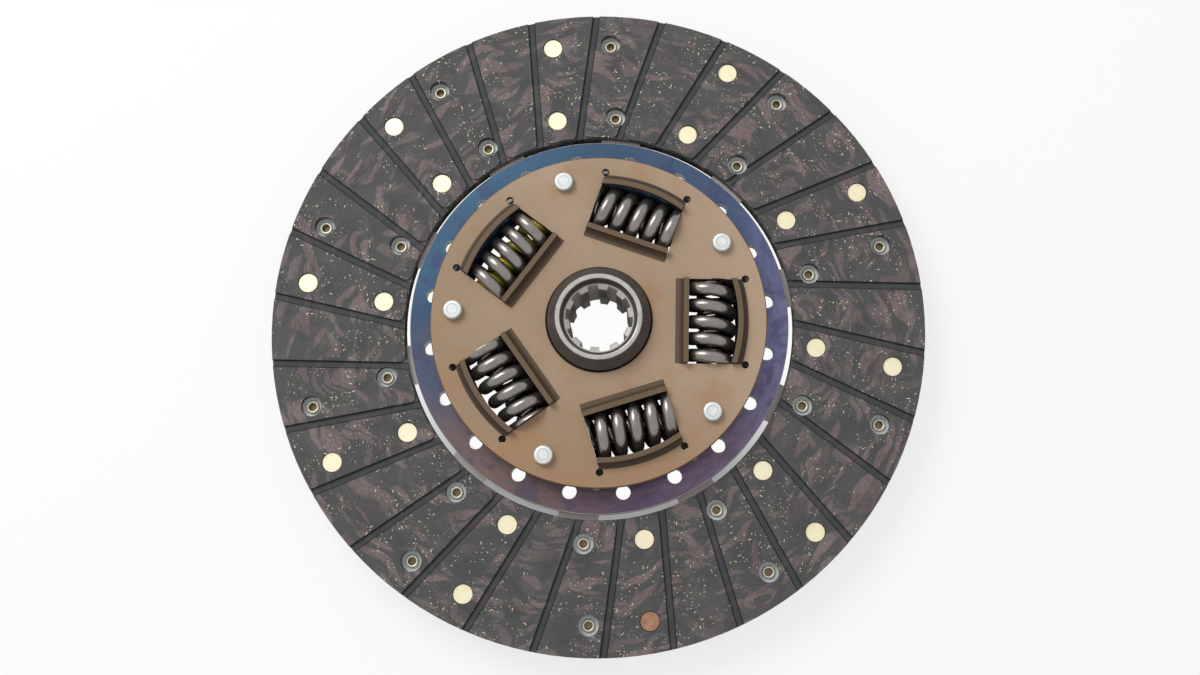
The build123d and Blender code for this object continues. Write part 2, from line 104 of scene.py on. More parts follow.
# Places on the plates, in millimetres and degrees
TAN_BACK_MM = 12.0
TAN_FACE_MM = 15.2
LIP_TIP_MM = 18.7
LIP_ROOT_IN_MM = 35.55
LIP_ROOT_OUT_MM = 60.7
LIP_BAND_IN_MM = 3.4
LIP_BAND_OUT_MM = 2.4
OUTER_LIP_MM = (54.0, 58.0)
DRIVE_FACE_MM = 4.2
DRIVE_RIM_MM = 81.0
RIM_BAND_MM = 0.36
VENT_CIRCLE_MM = 72.4
VENT_MM = 3.1
STREAK_TURN_MM = 110.0
PIN_CIRCLE_MM = 61.5
PIN_ANGLE = 33.3
PIN_MARK_MM = (1.9, 2.6)
PIN_EDGE_MM = (3.3, 4.1)

# Places on the hub, in millimetres
NOSE_MM = (21.2, 21.9)
WORN_RING_MM = (16.3, 18.2)
SPLINE_OUT_MM = 14.5
TOOTH_TIP_MM = 12.4

# Floor: its half width in metres, and how white it shows beside the disc, in its holes and in its gap. Its
# near-full white in the holes under the disc is painted light over the disc's shadow
FLOOR_HALF = 3.0
WHITE = (1.0, 1.0, 1.0, 1.0)
BESIDE_SHARE = 0.75
HOLE_PAINTED_LIGHT_SHARE = 0.97
GAP_SHARE = 0.3
GAP_FADE_MM = (-70.0, -10.0)
GAP_START_MM = (74.0, 77.0)
GAP_END_MM = (84.0, 100.0)

# Light: strength of the surroundings, what shiny surfaces and the camera add to it, and one lamp in metres
SKY_STRENGTH = 0.5
SHINE_STRENGTH = 0.4
BACKDROP_STRENGTH = 0.5
LAMP_PLACE = (-0.7, 0.75, 1.0)
LAMP_SIZE = (0.9, 0.7)
LAMP_POWER = 12.0

# Camera, from the picture's frame of 1200 by 675
PICTURE_W = 1200
PICTURE_H = 675
FOCAL_PX = 1472.0
CENTRE_PX = (663.44, 328.5)
CAMERA_ROLL = -6.957
CAMERA_YAW = -0.369
CAMERA_TILT = -10.706
PART_TURN = 6.19
PART_RISE_MM = 4.2
CAMERA_SHIFT_MM = (-27.287, 1.781, -630.125)
SENSOR_MM = 36.0
NEAR_CLIP = 0.01


def display(red, green, blue):
    """Scene colour that shows as this 0 to 255 display colour under plain light."""
    def channel(value):
        share = value / 255
        return share / 12.92 if share <= 0.04045 else ((share + 0.055) / 1.055) ** 2.4

    return (channel(red), channel(green), channel(blue), 1.0)


class Graph:
    """Short calls that add nodes to a tree. An input may be a number, a colour or another node's socket."""

    def __init__(self, tree):
        self.tree = tree

    def feed(self, socket, value):
        if isinstance(value, bpy.types.NodeSocket):
            self.tree.links.new(value, socket)
        elif value is not None:
            socket.default_value = value

    def node(self, kind, inputs=None, **settings):
        made = self.tree.nodes.new(kind)
        for name, value in settings.items():
            setattr(made, name, value)
        for key, value in (inputs or {}).items():
            self.feed(made.inputs[key], value)
        return made

    def math(self, operation, first, second=None, third=None):
        made = self.node("ShaderNodeMath", operation=operation)
        for socket, value in zip(made.inputs, (first, second, third)):
            self.feed(socket, value)
        return made.outputs[0]

    def vector(self, operation, first, second=None):
        made = self.node("ShaderNodeVectorMath", operation=operation)
        self.feed(made.inputs[0], first)
        self.feed(made.inputs[1], second)
        return made.outputs[0]

    def scaled(self, vector, factor):
        made = self.node("ShaderNodeVectorMath", operation="SCALE")
        self.feed(made.inputs[0], vector)
        self.feed(made.inputs["Scale"], factor)
        return made.outputs[0]

    def product(self, first, *others):
        for value in others:
            first = self.math("MULTIPLY", first, value)
        return first

    def length(self, x, y):
        return self.math("SQRT", self.math("ADD", self.product(x, x), self.product(y, y)))

    def on_spoke(self, radius, angle, count, start=0.0):
        """Distance out along the nearest of count spokes, the first at start degrees, and across it."""
        half_step = math.pi / count
        if start:
            angle = self.math("SUBTRACT", angle, math.radians(start))
        apart = self.math("WRAP", angle, half_step, -half_step)
        out = self.product(radius, self.math("COSINE", apart))
        return out, self.product(radius, self.math("SINE", apart))

    def separate(self, vector):
        return self.node("ShaderNodeSeparateXYZ", {0: vector}).outputs

    def combine(self, x, y, z):
        return self.node("ShaderNodeCombineXYZ", {0: x, 1: y, 2: z}).outputs[0]

    def mix(self, factor, first, second):
        """Colour from first at factor 0 to second at factor 1."""
        made = self.node("ShaderNodeMix", data_type="RGBA")
        self.feed(made.inputs[0], factor)
        self.feed(made.inputs[6], first)
        self.feed(made.inputs[7], second)
        return made.outputs[2]

    def mix_value(self, factor, first, second):
        """Number from first at factor 0 to second at factor 1."""
        made = self.node("ShaderNodeMix", {0: factor, 2: first, 3: second}, data_type="FLOAT")
        return made.outputs[0]

    def fade(self, value, low, high, start=0.0, end=1.0):
        """start below low, end above high, and smooth in between."""
        made = self.node("ShaderNodeMapRange", interpolation_type="SMOOTHSTEP")
        settings = {"Value": value, "From Min": low, "From Max": high, "To Min": start, "To Max": end}
        for key, given in settings.items():
            self.feed(made.inputs[key], given)
        return made.outputs["Result"]

    def band(self, value, low, high, soft):
        """1 between low and high, 0 outside, with edges as wide as soft."""
        rise = self.fade(value, low - soft / 2, low + soft / 2)
        fall = self.fade(value, high - soft / 2, high + soft / 2, 1.0, 0.0)
        return self.product(rise, fall)

    def noise(self, vector, size, detail=2.0, roughness=0.5):
        """Noise from 0 to 1 with blotches about as wide as size, in the vector's own units."""
        settings = {"Vector": vector, "Scale": 1 / size, "Detail": detail, "Roughness": roughness}
        return self.node("ShaderNodeTexNoise", settings).outputs[0]

    def ramp(self, value, stops):
        made = self.node("ShaderNodeValToRGB", {0: value})
        elements = made.color_ramp.elements
        while len(elements) < len(stops):
            elements.new(1.0)
        for element, (place, colour) in zip(elements, stops):
            element.position = place
            element.color = colour
        return made.outputs[0]

    def group(self, tree, inputs):
        made = self.node("ShaderNodeGroup", node_tree=tree)
        for key, value in inputs.items():
            self.feed(made.inputs[key], value)
        return made


SOCKETS = {"value": "NodeSocketFloat", "vector": "NodeSocketVector"}


def shader_group(name, inputs, outputs):
    """Empty shader group: its tree, its graph, and the sockets to read from and write to."""
    tree = bpy.data.node_groups.new(name, "ShaderNodeTree")
    for socket, (kind, start) in inputs.items():
        made = tree.interface.new_socket(socket, in_out="INPUT", socket_type=SOCKETS[kind])
        if start is not None:
            made.default_value = start
    for socket, kind in outputs.items():
        tree.interface.new_socket(socket, in_out="OUTPUT", socket_type=SOCKETS[kind])
    graph = Graph(tree)
    return tree, graph, graph.node("NodeGroupInput").outputs, graph.node("NodeGroupOutput").inputs


def place_group():
    """Where a point of the disc is: its place, radius and height in millimetres and its angle in radians.

    Round is the point's angle on a fixed circle, with its radius as height, for streaks round the disc."""
    tree, g, given, result = shader_group(
        "disc_place", {"Object": ("vector", None)},
        {"Place": "vector", "Radius": "value", "Angle": "value", "Height": "value", "Round": "vector"})
    place = g.scaled(given["Object"], 1 / MM)
    x, y, z = g.separate(place)
    radius = g.length(x, y)
    g.feed(result["Place"], place)
    g.feed(result["Radius"], radius)
    g.feed(result["Angle"], g.math("ARCTAN2", y, x))
    g.feed(result["Height"], z)
    direction = g.scaled(g.combine(x, y, 0.0), g.math("DIVIDE", 1.0, g.math("MAXIMUM", radius, 1.0)))
    circle = g.scaled(direction, STREAK_TURN_MM)
    g.feed(result["Round"], g.vector("ADD", circle, g.combine(0.0, 0.0, radius)))
    return tree


def groove_group():
    """Distance in millimetres from the nearest facing groove, and the ring unrolled along the grooves."""
    tree, g, given, result = shader_group(
        "groove_distance", {"Radius": ("value", 0.0), "Angle": ("value", 0.0)},
        {"Distance": "value", "Unrolled": "vector"})
    outside = g.math("MAXIMUM", given["Radius"], GROOVE_OFFSET_MM)
    lean = g.math("ARCSINE", g.math("DIVIDE", GROOVE_OFFSET_MM, outside))
    along = g.math("SUBTRACT", g.math("SUBTRACT", given["Angle"], lean), math.radians(GROOVE_ANGLE))
    half_step = math.pi / PADS
    apart = g.math("WRAP", along, half_step, -half_step)
    reach = g.product(given["Radius"], g.math("COSINE", lean))
    g.feed(result["Distance"], g.product(g.math("ABSOLUTE", apart), reach))
    whole = g.math("WRAP", along, math.pi, -math.pi)
    g.feed(result["Unrolled"], g.combine(g.product(whole, MIDDLE_RADIUS_MM), given["Radius"], 0.0))
    return tree


def stroke_group():
    """Soft worn strokes, longer along X than across it, that drift off their course with the place."""
    tree, g, given, result = shader_group(
        "strokes", {"Place": ("vector", None), "Length": ("value", 14.0), "Width": ("value", 5.0),
                    "Drift": ("value", 10.0), "Shift": ("value", 0.0)},
        {"Mask": "value"})
    moved = g.vector("ADD", given["Place"], g.combine(given["Shift"], given["Shift"], 0.0))
    wander = g.math("SUBTRACT", g.noise(moved, 22.0, detail=1.0), 0.5)
    ragged = g.math("SUBTRACT", g.noise(moved, 3.0, detail=3.0), 0.5)
    x, y, _ = g.separate(moved)
    off_course = g.math("ADD", g.product(wander, given["Drift"]), g.product(ragged, 1.3))
    across = g.math("ADD", y, off_course)
    cells = g.combine(g.math("DIVIDE", x, given["Length"]), g.math("DIVIDE", across, given["Width"]), 0.0)
    found = g.node("ShaderNodeTexVoronoi", {"Vector": cells, "Scale": 1.0, "Randomness": 0.9},
                   voronoi_dimensions="2D", feature="F1")
    tone = g.node("ShaderNodeSeparateColor", {0: found.outputs["Color"]}).outputs
    reach = g.math("MULTIPLY_ADD", tone[0], 0.22, 0.16)
    inside = g.fade(g.math("SUBTRACT", found.outputs["Distance"], reach), -0.08, 0.08, 1.0, 0.0)
    g.feed(result["Mask"], g.product(inside, g.fade(tone[1], 0.1, 0.6, 0.15, 1.0)))
    return tree


def rivet_group():
    """Distance in millimetres from the middle of the nearest facing rivet."""
    tree, g, given, result = shader_group(
        "rivet_distance", {"Radius": ("value", 0.0), "Angle": ("value", 0.0)}, {"Distance": "value"})
    out, across = g.on_spoke(given["Radius"], given["Angle"], PADDLES, PADDLE_ANGLE)
    off = g.math("SUBTRACT", g.math("ABSOLUTE", across), RIVET_COLUMN_MM)
    first, second = (g.length(g.math("SUBTRACT", out, row), off) for row in RIVET_ROWS_MM)
    g.feed(result["Distance"], g.math("MINIMUM", first, second))
    return tree


def fleck_group():
    """Short straight chips scattered in a surface, each lying its own way."""
    tree, g, given, result = shader_group(
        "chips", {"Place": ("vector", None), "Spacing": ("value", 3.0), "Length": ("value", 1.0),
                  "Width": ("value", 0.3), "Share": ("value", 0.5)},
        {"Mask": "value", "Tone": "value"})
    cells = g.scaled(given["Place"], g.math("DIVIDE", 1.0, given["Spacing"]))
    found = g.node("ShaderNodeTexVoronoi", {"Vector": cells, "Scale": 1.0, "Randomness": 1.0},
                   voronoi_dimensions="2D", feature="F1")
    tone = g.node("ShaderNodeSeparateColor", {0: found.outputs["Color"]}).outputs
    offset = g.scaled(g.vector("SUBTRACT", cells, found.outputs["Position"]), given["Spacing"])
    turn = g.product(tone[0], math.tau)
    turned = g.node("ShaderNodeVectorRotate", {"Vector": offset, "Angle": turn}, rotation_type="Z_AXIS")
    x, y, _ = g.separate(turned.outputs[0])
    length = g.product(given["Length"], g.math("MULTIPLY_ADD", tone[1], 0.4, 0.1))
    inside_x = g.math("LESS_THAN", g.math("ABSOLUTE", x), length)
    inside_y = g.math("LESS_THAN", g.math("ABSOLUTE", y), g.product(given["Width"], 0.5))
    kept = g.math("LESS_THAN", tone[2], given["Share"])
    g.feed(result["Mask"], g.product(inside_x, inside_y, kept))
    g.feed(result["Tone"], tone[1])
    return tree


def grain_group():
    """Fine grain for a surface's relief and gloss."""
    tree, g, given, result = shader_group(
        "grain", {"Place": ("vector", None), "Size": ("value", 0.5)}, {"Value": "value"})
    sized = g.scaled(given["Place"], g.math("DIVIDE", 1.0, given["Size"]))
    g.feed(result["Value"], g.noise(sized, 1.0, detail=4.0, roughness=0.65))
    return tree


PLACE = place_group()
GROOVES = groove_group()
STROKES = stroke_group()
RIVETS = rivet_group()
CHIPS = fleck_group()
GRAIN = grain_group()


class Finish:
    """A material with one Principled shader, its graph, and the disc's place sockets."""

    def __init__(self, name, metallic=0.0, specular=0.5):
        self.material = bpy.data.materials.new(name)
        self.material.use_nodes = True
        tree = self.material.node_tree
        tree.nodes.clear()
        self.g = Graph(tree)
        given = {"Metallic": metallic, "Specular IOR Level": specular}
        self.shader = self.g.node("ShaderNodeBsdfPrincipled", given)
        self.g.node("ShaderNodeOutputMaterial", {0: self.shader.outputs[0]})
        coordinates = self.g.node("ShaderNodeTexCoord")
        self.at = self.g.group(PLACE, {"Object": coordinates.outputs["Object"]}).outputs

    def colour(self, socket):
        self.g.feed(self.shader.inputs["Base Color"], socket)

    def rough(self, socket):
        self.g.feed(self.shader.inputs["Roughness"], socket)

    def relief(self, height, depth_mm, strength=1.0):
        given = {"Height": height, "Distance": depth_mm * MM, "Strength": strength}
        bump = self.g.node("ShaderNodeBump", given)
        self.g.feed(self.shader.inputs["Normal"], bump.outputs[0])

    def grain(self, size):
        return self.g.group(GRAIN, {"Place": self.at["Place"], "Size": size}).outputs[0]


# Worn strokes of yarn, then brass chips and pale specks with their dull and bright colours, in millimetres
LONG_STROKES = {"Length": 24.0, "Width": 7.0, "Drift": 30.0}
SHORT_STROKES = {"Length": 14.0, "Width": 5.0, "Drift": -34.0, "Shift": 57.0}
FLECKS = (
    ({"Spacing": 3.0, "Length": 1.3, "Width": 0.32, "Share": 0.5}, (166, 150, 112), (244, 230, 190)),
    ({"Spacing": 1.7, "Length": 0.55, "Width": 0.3, "Share": 0.5}, (150, 146, 134), (226, 222, 204)),
)


def facing_finish():
    """Moulded friction material: worn strokes of yarn in grey resin, brass chips and pale specks."""
    f = Finish("friction_facing", specular=0.3)
    g = f.g
    ring = g.group(GROOVES, {"Radius": f.at["Radius"], "Angle": f.at["Angle"]}).outputs
    flat = ring["Unrolled"]
    fibres = g.noise(g.vector("MULTIPLY", flat, (0.3, 1.0, 1.0)), 0.7, detail=3.0, roughness=0.6)
    clouds = g.noise(flat, 12.0, detail=2.0)
    grey = g.math("ADD", g.product(fibres, 0.5), g.product(clouds, 0.5))
    resin = g.mix(g.fade(grey, 0.3, 0.7), display(72, 73, 73), display(90, 91, 89))
    wool = g.mix(g.fade(grey, 0.35, 0.65), display(106, 90, 91), display(136, 119, 120))
    long_strokes = g.group(STROKES, {"Place": flat, **LONG_STROKES}).outputs["Mask"]
    short_strokes = g.group(STROKES, {"Place": flat, **SHORT_STROKES}).outputs["Mask"]
    bundle = g.math("MAXIMUM", long_strokes, g.product(short_strokes, 0.75))
    worn = g.product(bundle, g.fade(fibres, 0.25, 0.55, 0.45, 0.95))
    colour = g.mix(worn, resin, wool)
    floor = g.fade(ring["Distance"], GROOVE_HALF_MM - 0.05, GROOVE_HALF_MM + 0.05, 1.0, 0.0)
    colour = g.mix(g.product(floor, 0.85), colour, display(68, 70, 72))
    cluster = g.fade(g.noise(f.at["Place"], 8.0, detail=2.0), 0.46, 0.54)
    face = g.band(f.at["Radius"], FACING_BORE_MM + 0.2, FACING_RIM_MM - 0.2, 0.1)
    open_pad = g.product(g.math("SUBTRACT", 1.0, floor), cluster, face)
    for sizes, dull, bright in FLECKS:
        found = g.group(CHIPS, {"Place": f.at["Place"], **sizes}).outputs
        fleck = g.mix(found["Tone"], display(*dull), display(*bright))
        colour = g.mix(g.product(found["Mask"], open_pad), colour, fleck)
    # Near-black lines along both walls of each groove: painted shade at the groove walls.
    edge = g.band(ring["Distance"], GROOVE_HALF_MM - 0.28, GROOVE_HALF_MM + 0.22, 0.2)
    colour = g.mix(g.product(edge, 0.85), colour, display(24, 24, 26))
    f.colour(colour)
    f.rough(g.fade(bundle, 0.0, 1.0, 0.74, 0.62))
    f.relief(g.math("ADD", g.product(fibres, 0.6), g.product(bundle, 0.4)), 0.08, 0.6)
    return f.material


def lip_band(g, at):
    """1 along the roots of the window lips, where the sheet starts to bend, and the place across them."""
    out, across = g.on_spoke(at["Radius"], at["Angle"], WINDOW_COUNT)
    inner = g.band(out, LIP_ROOT_IN_MM - LIP_BAND_IN_MM, LIP_ROOT_IN_MM + 1.0, 0.4)
    outer = g.band(at["Radius"], LIP_ROOT_OUT_MM - 1.0, LIP_ROOT_OUT_MM + LIP_BAND_OUT_MM, 0.4)
    near = g.fade(g.math("ABSOLUTE", across), WINDOW_HALF_MM - 0.2, WINDOW_HALF_MM + 0.2, 1.0, 0.0)
    return g.product(g.math("MAXIMUM", inner, outer), near), g.mix_value(outer, out, at["Radius"])


def tan_finish():
    """Straw-tan heat-treated plate with rusty clouds and brown bent lips, brushed along their length."""
    f = Finish("tan_steel", specular=0.35)
    g = f.g
    height = f.at["Height"]
    clouds = g.noise(f.at["Place"], 24.0, detail=3.0, roughness=0.55)
    rust = g.noise(g.vector("ADD", f.at["Place"], (40.0, 0.0, 0.0)), 18.0, detail=4.0, roughness=0.6)
    fine = f.grain(0.7)
    x, y, _ = g.separate(f.at["Place"])
    colour = g.mix(clouds, display(160, 134, 108), display(186, 161, 136))
    colour = g.mix(g.fade(x, 10.0, 70.0, 0.0, 0.5), colour, display(196, 170, 144))
    colour = g.mix(g.fade(x, -68.0, -35.0, 0.7, 0.0), colour, display(160, 134, 104))
    colour = g.mix(g.fade(y, -75.0, -20.0, 0.85, 0.0), colour, display(164, 130, 98))
    colour = g.mix(g.product(g.fade(rust, 0.5, 0.72), 0.5), colour, display(172, 126, 84))
    colour = g.mix(g.product(g.math("SUBTRACT", fine, 0.5), 0.6), colour, display(124, 102, 82))

    # Brown band on the face along the lips' roots, partly heat tint and partly painted shade of the sloping
    # bend, then the lips and their free edges
    root, reach = lip_band(g, f.at)
    root_lines = g.noise(g.combine(reach, 0.0, 0.0), 0.45, detail=2.0)
    root_tint_and_shade = g.mix(root_lines, display(58, 43, 29), display(98, 78, 56))
    root_tint_and_shade = g.mix(g.fade(f.at["Radius"], *OUTER_LIP_MM, 0.0, 0.5), root_tint_and_shade, display(36, 27, 20))
    face = g.band(height, TAN_FACE_MM - 0.1, TAN_FACE_MM + 0.3, 0.02)
    colour = g.mix(g.product(root, face, 0.92), colour, root_tint_and_shade)
    lines = g.noise(g.combine(0.0, 0.0, height), 0.35, detail=2.0)
    bend = g.mix(lines, display(60, 46, 33), display(84, 66, 48))
    bend = g.mix(g.fade(f.at["Radius"], *OUTER_LIP_MM, 0.0, 0.4), bend, display(40, 31, 23))
    colour = g.mix(g.fade(height, TAN_FACE_MM + 0.02, TAN_FACE_MM + 0.25), colour, bend)
    free_edge = g.mix(fine, display(92, 75, 56), display(116, 97, 74))
    colour = g.mix(g.fade(height, LIP_TIP_MM - 0.15, LIP_TIP_MM - 0.02), colour, free_edge)

    # Sheared walls between the plate's back and its face
    below_face = g.fade(height, TAN_FACE_MM - 0.04, TAN_FACE_MM - 0.01, 1.0, 0.0)
    walls = g.product(below_face, g.fade(height, TAN_BACK_MM + 0.02, TAN_BACK_MM + 0.05))
    colour = g.mix(g.product(walls, 0.75), colour, display(78, 60, 44))
    f.colour(colour)
    f.rough(g.fade(fine, 0.3, 0.7, 0.45, 0.62))
    f.relief(fine, 0.02, 0.5)
    return f.material


# Colours round the drive plate, by share of a turn from the side opposite the first window
TEMPER = (
    (0.0, display(58, 84, 114)),
    (0.07, display(98, 92, 104)),
    (0.14, display(120, 98, 92)),
    (0.22, display(108, 86, 94)),
    (0.30, display(96, 80, 104)),
    (0.38, display(116, 98, 122)),
    (0.50, display(116, 114, 154)),
    (0.62, display(72, 90, 124)),
    (0.75, display(56, 84, 112)),
    (0.88, display(58, 98, 128)),
    (1.0, display(58, 84, 114)),
)


def blued_finish():
    """Heat-tinted steel whose temper colour runs from blue to purple, with a bare rim wall and its vent
    walls painted white as painted light.
    """
    f = Finish("blued_steel", metallic=0.45, specular=0.5)
    g = f.g
    turn = g.math("ADD", g.math("DIVIDE", f.at["Angle"], math.tau), 0.5)
    drift = g.product(g.math("SUBTRACT", g.noise(f.at["Place"], 26.0, detail=4.0), 0.5), 0.2)
    colour = g.ramp(g.math("ADD", turn, drift), TEMPER)
    streaks = g.noise(g.vector("MULTIPLY", f.at["Round"], (0.2, 0.2, 1.0)), 1.6, detail=3.0)
    colour = g.mix(g.product(g.fade(streaks, 0.4, 0.8), 0.3), colour, display(34, 38, 56))
    wall = g.band(f.at["Height"], 0.05, DRIVE_FACE_MM - 0.03, 0.02)
    # Vent walls painted near white and not metallic: painted light standing in for the bright floor seen
    # through the vents.
    vents = g.band(f.at["Radius"], VENT_CIRCLE_MM - VENT_MM - 0.1, VENT_CIRCLE_MM + VENT_MM + 0.1, 0.1)
    painted_vent_light = g.product(wall, vents)
    colour = g.mix(painted_vent_light, colour, display(250, 252, 253))
    g.feed(f.shader.inputs["Metallic"], g.mix_value(painted_vent_light, 0.45, 0.0))
    navy = g.fade(g.noise(f.at["Place"], 9.0, detail=2.0), 0.54, 0.64, 0.0, 0.45)
    colour = g.mix(g.product(navy, g.math("SUBTRACT", 1.0, painted_vent_light)), colour, display(60, 62, 98))
    rim = g.fade(f.at["Radius"], DRIVE_RIM_MM - RIM_BAND_MM, DRIVE_RIM_MM - RIM_BAND_MM + 0.06)
    colour = g.mix(g.product(wall, rim, 0.9), colour, display(192, 190, 188))
    f.colour(colour)
    f.rough(g.fade(streaks, 0.3, 0.7, 0.3, 0.45))
    f.relief(f.grain(0.5), 0.01, 0.4)
    return f.material


def hub_finish():
    """Dark forged steel with a bright ring round the nose, partly bare worn steel and partly a painted
    highlight, and its splined bore painted pale as painted light against the shade inside it.
    """
    f = Finish("hub_steel", metallic=0.5, specular=0.5)
    g = f.g
    radius, height = f.at["Radius"], f.at["Height"]
    patches = g.noise(f.at["Place"], 5.0, detail=4.0, roughness=0.6)
    fine = f.grain(0.6)
    colour = g.mix(patches, display(64, 60, 57), display(94, 89, 85))
    # Bright ring round the nose: partly bare worn steel, partly a painted highlight.
    worn = g.product(g.fade(height, *NOSE_MM), g.band(radius, *WORN_RING_MM, 1.0))
    ragged = g.fade(g.math("ADD", worn, g.product(g.math("SUBTRACT", fine, 0.5), 0.8)), 0.35, 0.8)
    colour = g.mix(ragged, colour, g.mix(patches, display(150, 148, 144), display(214, 212, 207)))
    # Pale splined bore: painted light that offsets the shade inside the bore.
    spline_painted_light = g.fade(radius, SPLINE_OUT_MM, SPLINE_OUT_MM + 0.4, 1.0, 0.0)
    colour = g.mix(spline_painted_light, colour, g.mix(patches, display(186, 181, 176), display(214, 210, 205)))
    tips = g.fade(radius, TOOTH_TIP_MM, TOOTH_TIP_MM + 0.3, 1.0, 0.0)
    tip_shade = g.product(tips, g.fade(height, -4.0, 6.0, 0.3, 0.85))
    colour = g.mix(tip_shade, colour, display(84, 80, 77))
    f.colour(colour)
    f.rough(g.mix_value(ragged, 0.6, 0.35))
    f.relief(fine, 0.03, 0.5)
    return f.material


def steel_finish(name, dark, light, metallic, rough, blotch=6.0):
    """Plain steel with a little variation, given its darkest and lightest display colours."""
    f = Finish(name, metallic=metallic)
    g = f.g
    patches = g.noise(f.at["Place"], blotch, detail=4.0, roughness=0.6)
    fine = f.grain(0.4)
    f.colour(g.mix(patches, display(*dark), display(*light)))
    f.rough(g.fade(fine, 0.3, 0.7, rough - 0.06, rough + 0.08))
    f.relief(fine, 0.01, 0.4)
    return f.material


def rivet_finish(name, dark, light):
    """Brass rivet: a pale face at one end, and a rolled end with a dark bore at the other."""
    f = Finish(name, metallic=0.55)
    g = f.g
    patches = g.noise(f.at["Place"], 3.0, detail=3.0)
    fine = f.grain(0.5)
    distance = g.group(RIVETS, {"Radius": f.at["Radius"], "Angle": f.at["Angle"]}).outputs["Distance"]
    colour = g.mix(patches, display(*dark), display(*light))
    rolled = g.fade(g.math("ABSOLUTE", f.at["Height"]), ROLLED_END_MM, ROLLED_END_MM + 0.2, 1.0, 0.0)
    ring = g.mix(patches, display(188, 184, 158), display(226, 222, 200))
    colour = g.mix(g.product(rolled, 0.85), colour, ring)
    bore = g.fade(distance, RIVET_BORE_MM, RIVET_BORE_MM + 0.2, 1.0, 0.0)
    colour = g.mix(g.product(rolled, bore, 0.85), colour, display(104, 82, 60))
    f.colour(colour)
    f.rough(g.fade(fine, 0.3, 0.7, 0.3, 0.42))
    f.relief(fine, 0.02, 0.4)
    return f.material


def pin_finish():
    """Bright zinc-plated pin head, darker towards its edge, with a faint round mark of the setting tool."""
    f = Finish("pin_steel", metallic=0.4)
    g = f.g
    patches = g.noise(f.at["Place"], 2.5, detail=4.0, roughness=0.6)
    fine = f.grain(0.4)
    out, across = g.on_spoke(f.at["Radius"], f.at["Angle"], WINDOW_COUNT, PIN_ANGLE)
    distance = g.length(g.math("SUBTRACT", out, PIN_CIRCLE_MM), across)
    colour = g.mix(patches, display(216, 220, 217), display(252, 254, 251))
    mark = g.band(distance, *PIN_MARK_MM, 0.5)
    colour = g.mix(g.product(mark, 0.5), colour, display(176, 184, 182))
    colour = g.mix(g.fade(distance, *PIN_EDGE_MM, 0.0, 0.7), colour, display(150, 158, 156))
    f.colour(colour)
    f.rough(g.fade(fine, 0.3, 0.7, 0.26, 0.4))
    f.relief(g.math("SUBTRACT", fine, g.product(mark, 0.6)), 0.06, 0.5)
    return f.material


def cushion_finish():
    """Spring-steel sheet: grey on its necks, pale blue-grey under the facings' rivet holes, both painted
    lighter as painted light against the shade in the facings' gap and the rivet wells.
    """
    f = Finish("spring_steel", metallic=0.1)
    g = f.g
    patches = g.noise(f.at["Place"], 6.0, detail=4.0, roughness=0.6)
    fine = f.grain(0.4)
    # Both tones are painted light: lighter than the steel, to offset the shade in the gap and in the rivet
    # wells.
    neck = g.mix(patches, display(184, 176, 174), display(208, 200, 198))
    pale = g.mix(patches, display(222, 234, 238), display(248, 252, 252))
    f.colour(g.mix(g.fade(f.at["Radius"], PADDLE_ROOT_MM - 0.4, PADDLE_ROOT_MM + 0.4), neck, pale))
    f.rough(g.fade(fine, 0.3, 0.7, 0.36, 0.5))
    f.relief(fine, 0.01, 0.4)
    return f.material


FINISHES = {
    "friction_facing": facing_finish(),
    "tan_steel": tan_finish(),
    "blued_steel": blued_finish(),
    "hub_steel": hub_finish(),
    "spring_steel": cushion_finish(),
    "rivet_brass": rivet_finish("rivet_brass", (250, 232, 184), (255, 253, 228)),
    "rivet_copper": rivet_finish("rivet_copper", (120, 84, 62), (206, 158, 128)),
    "pin_steel": pin_finish(),
    "washer_composite": steel_finish("washer_composite", (40, 38, 36), (60, 57, 54), 0.0, 0.7),
    "coil_steel": steel_finish("coil_steel", (116, 112, 108), (156, 152, 147), 0.9, 0.26, 4.0),
    "coil_paint": steel_finish("coil_paint", (140, 132, 34), (206, 194, 60), 0.2, 0.42, 2.5),
}
for part in frame["record"]["subparts"]:
    mesh = nodes[part["node"]].data
    mesh.materials.clear()
    mesh.materials.append(FINISHES[part["material_slot"]])


